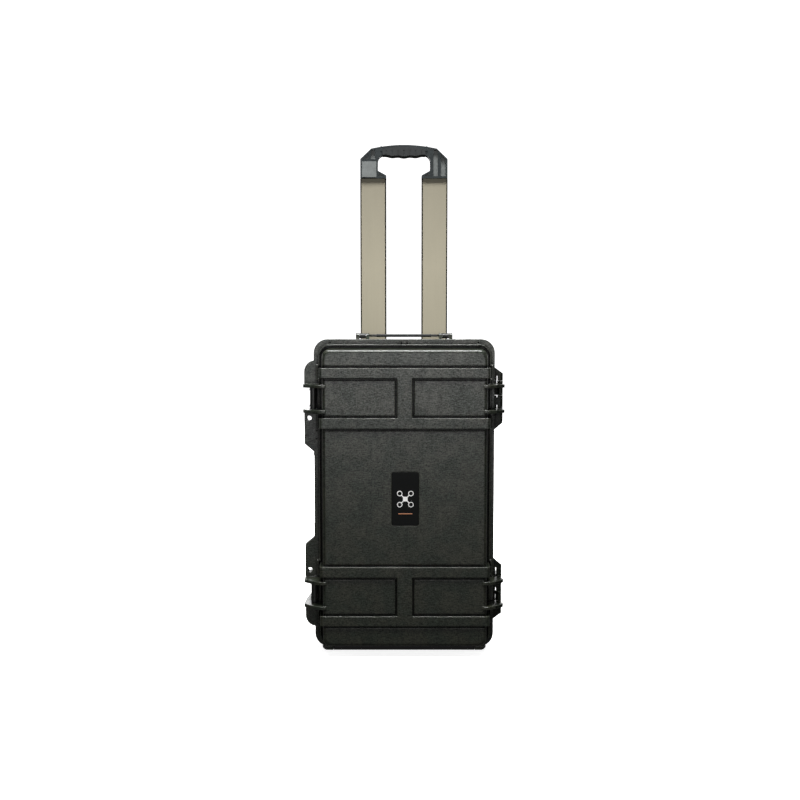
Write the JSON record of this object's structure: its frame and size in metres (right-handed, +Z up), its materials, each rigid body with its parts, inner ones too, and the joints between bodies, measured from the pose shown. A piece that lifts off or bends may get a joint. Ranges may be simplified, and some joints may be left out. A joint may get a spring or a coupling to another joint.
{
  "type": "rolling equipment case",
  "caption": "Upright rolling hard case with a hinged ribbed lid, double-throw latches, fold-down handles, an extended trolley handle, rear wheels and a foam insert for a drone.",
  "frame": {"origin": "centre of the case's box, on the floor it stands on", "axes": "+Z up along the standing case, -Y out of the lid's front, +X towards the hinges"},
  "size_m": [0.3452, 0.229, 0.9092],
  "materials": {
    "shell_plastic": "fine moulded grain, satin",
    "latch_plastic": "fine moulded grain",
    "handle_plastic": "fine moulded grain",
    "yoke_plastic": "moulded, slightly worn",
    "button_plastic": "moulded",
    "guide_plastic": "smooth",
    "cover_plastic": "fine moulded grain",
    "hub_plastic": "smooth",
    "label_black": "semi-gloss",
    "label_copper": "satin",
    "tube_aluminium": "champagne anodised, brushed along the tube",
    "pin_steel": "drawn",
    "grip_rubber": "soft-touch",
    "seal_rubber": "smooth",
    "foot_rubber": "matt",
    "wheel_rubber": "matt",
    "foam": "open-cell polyurethane foam",
    "membrane": "woven membrane"
  },
  "bodies": {
    "base": {"base_shell": "shell_plastic", "foam_insert": "foam", "foam_base_pad": "foam", "hinge_pin_upper": "pin_steel", "hinge_pin_lower": "pin_steel", "front_handle_pins": "pin_steel", "top_handle_pins": "pin_steel", "trolley_guide": "guide_plastic", "trolley_cover": "cover_plastic", "trolley_cover_screws": "pin_steel", "wheel_axle_left": "pin_steel", "wheel_axle_right": "pin_steel", "foot_rail": "foot_rubber", "valve_body": "latch_plastic", "valve_membrane": "membrane"},
    "lid": {"lid_shell": "shell_plastic", "lid_gasket": "seal_rubber", "lid_foam": "foam", "label_plate": "label_black", "label_mark": "label_copper", "latch_pin_upper": "pin_steel", "latch_pin_lower": "pin_steel"},
    "latch_upper": {"latch_body_upper": "latch_plastic", "lever_pin_upper": "pin_steel"},
    "latch_lower": {"latch_body_lower": "latch_plastic", "lever_pin_lower": "pin_steel"},
    "lever_upper": {"latch_lever_upper": "latch_plastic"},
    "lever_lower": {"latch_lever_lower": "latch_plastic"},
    "front_handle": {"front_handle_frame": "handle_plastic", "front_handle_grip": "grip_rubber"},
    "top_handle": {"top_handle_frame": "handle_plastic", "top_handle_grip": "grip_rubber"},
    "trolley": {"trolley_tube_left": "tube_aluminium", "trolley_tube_right": "tube_aluminium", "trolley_yoke": "yoke_plastic", "trolley_grip": "grip_rubber", "trolley_rivets": "tube_aluminium", "trolley_shoe_left": "guide_plastic", "trolley_shoe_right": "guide_plastic", "button_spring": "pin_steel"},
    "button": {"trolley_button": "button_plastic", "release_bar": "pin_steel", "release_rod_left": "pin_steel", "release_rod_right": "pin_steel"},
    "lock_left": {"lock_pin_left": "pin_steel"},
    "lock_right": {"lock_pin_right": "pin_steel"},
    "wheel_left": {"wheel_tyre_left": "wheel_rubber", "wheel_hub_left": "hub_plastic", "wheel_bearings_left": "pin_steel"},
    "wheel_right": {"wheel_tyre_right": "wheel_rubber", "wheel_hub_right": "hub_plastic", "wheel_bearings_right": "pin_steel"},
    "valve_knob": {"valve_knob": "latch_plastic"}
  },
  "joints": [
    {"name": "lid_hinge", "type": "hinge", "parent": "base", "child": "lid", "pos_m": [0.1676, -0.0645, 0.2785], "axis": [0, 0, 1], "range_deg": [0, 100]},
    {"name": "latch_upper_swing", "type": "hinge", "parent": "lid", "child": "latch_upper", "pos_m": [-0.1566, -0.0765, 0.4478], "axis": [0, 0, 1], "range_deg": [0, 95]},
    {"name": "latch_lower_swing", "type": "hinge", "parent": "lid", "child": "latch_lower", "pos_m": [-0.1566, -0.0765, 0.1092], "axis": [0, 0, 1], "range_deg": [0, 95]},
    {"name": "lever_upper_pull", "type": "hinge", "parent": "latch_upper", "child": "lever_upper", "pos_m": [-0.1577, -0.0485, 0.4478], "axis": [0, 0, 1], "range_deg": [0, 55]},
    {"name": "lever_lower_pull", "type": "hinge", "parent": "latch_lower", "child": "lever_lower", "pos_m": [-0.1577, -0.0485, 0.1092], "axis": [0, 0, 1], "range_deg": [0, 55]},
    {"name": "front_handle_fold", "type": "hinge", "parent": "base", "child": "front_handle", "pos_m": [-0.1568, -0.0145, 0.2785], "axis": [0, 0, 1], "range_deg": [0, 90]},
    {"name": "top_handle_fold", "type": "hinge", "parent": "base", "child": "top_handle", "pos_m": [0.0008, -0.0145, 0.5543], "axis": [1, 0, 0], "range_deg": [0, 90]},
    {"name": "trolley_slide", "type": "slide", "parent": "base", "child": "trolley", "axis": [0, 0, 1], "range_m": [-0.35, 0]},
    {"name": "button_press", "type": "slide", "parent": "trolley", "child": "button", "axis": [0, 0, -1], "range_m": [0, 0.004], "stiffness_N_per_m": 800, "springref_m": -0.002, "deforming": ["button_spring"]},
    {"name": "lock_left_draw", "type": "slide", "parent": "trolley", "child": "lock_left", "axis": [1, 0, 0], "range_m": [0, 0.004]},
    {"name": "lock_right_draw", "type": "slide", "parent": "trolley", "child": "lock_right", "axis": [-1, 0, 0], "range_m": [0, 0.004]},
    {"name": "wheel_left_spin", "type": "hinge", "parent": "base", "child": "wheel_left", "pos_m": [-0.1242, 0.0895, 0.025], "axis": [1, 0, 0], "continuous": true},
    {"name": "wheel_right_spin", "type": "hinge", "parent": "base", "child": "wheel_right", "pos_m": [0.1258, 0.0895, 0.025], "axis": [1, 0, 0], "continuous": true},
    {"name": "valve_turn", "type": "hinge", "parent": "base", "child": "valve_knob", "pos_m": [-0.1446, -0.0145, 0.1605], "axis": [-1, 0, 0], "range_deg": [0, 270]}
  ],
  "couplings": [
    {"joint": "lock_left_draw", "follows": "button_press", "ratio": 1},
    {"joint": "lock_right_draw", "follows": "button_press", "ratio": 1}
  ]
}
